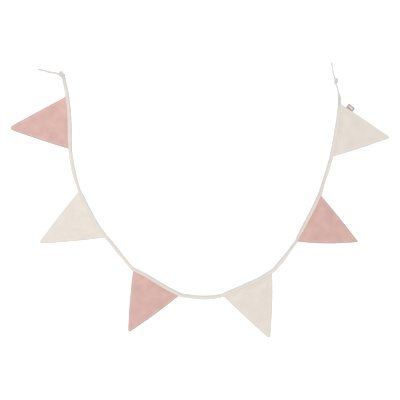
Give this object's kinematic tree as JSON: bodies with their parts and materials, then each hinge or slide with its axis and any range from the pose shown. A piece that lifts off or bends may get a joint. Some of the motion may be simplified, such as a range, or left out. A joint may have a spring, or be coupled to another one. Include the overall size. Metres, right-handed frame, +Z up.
{
  "type": "pennant bunting",
  "caption": "Cotton pennant bunting laid out in a wide U: double-sided triangular flags in pink and cream caught in one folded tape, with a knot and a free end at each side.",
  "frame": {"origin": "middle of the laid-out bunting's box, on the surface that it lies on", "axes": "+X to the right across the U, +Y towards the U's open side, +Z up from the surface"},
  "size_m": [1.2478, 0.907, 0.0068],
  "materials": {
    "pink_cotton": "plain-woven cotton, matt, dusty pink",
    "cream_cotton": "plain-woven cotton, matt, cream",
    "tape_cotton": "folded cotton tape, matt, pale cream",
    "label_weave": "fine woven label, slightly glossy, mauve"
  },
  "bodies": {
    "root": {"tape": "tape_cotton", "flag_1_back": "pink_cotton", "flag_1_front": "pink_cotton", "flag_2_back": "cream_cotton", "flag_2_front": "cream_cotton", "flag_3_back": "pink_cotton", "flag_3_front": "pink_cotton", "flag_4_back": "cream_cotton", "flag_4_front": "cream_cotton", "flag_5_back": "pink_cotton", "flag_5_front": "pink_cotton", "flag_6_back": "cream_cotton", "flag_6_front": "cream_cotton", "label": "label_weave"}
  },
  "joints": []
}
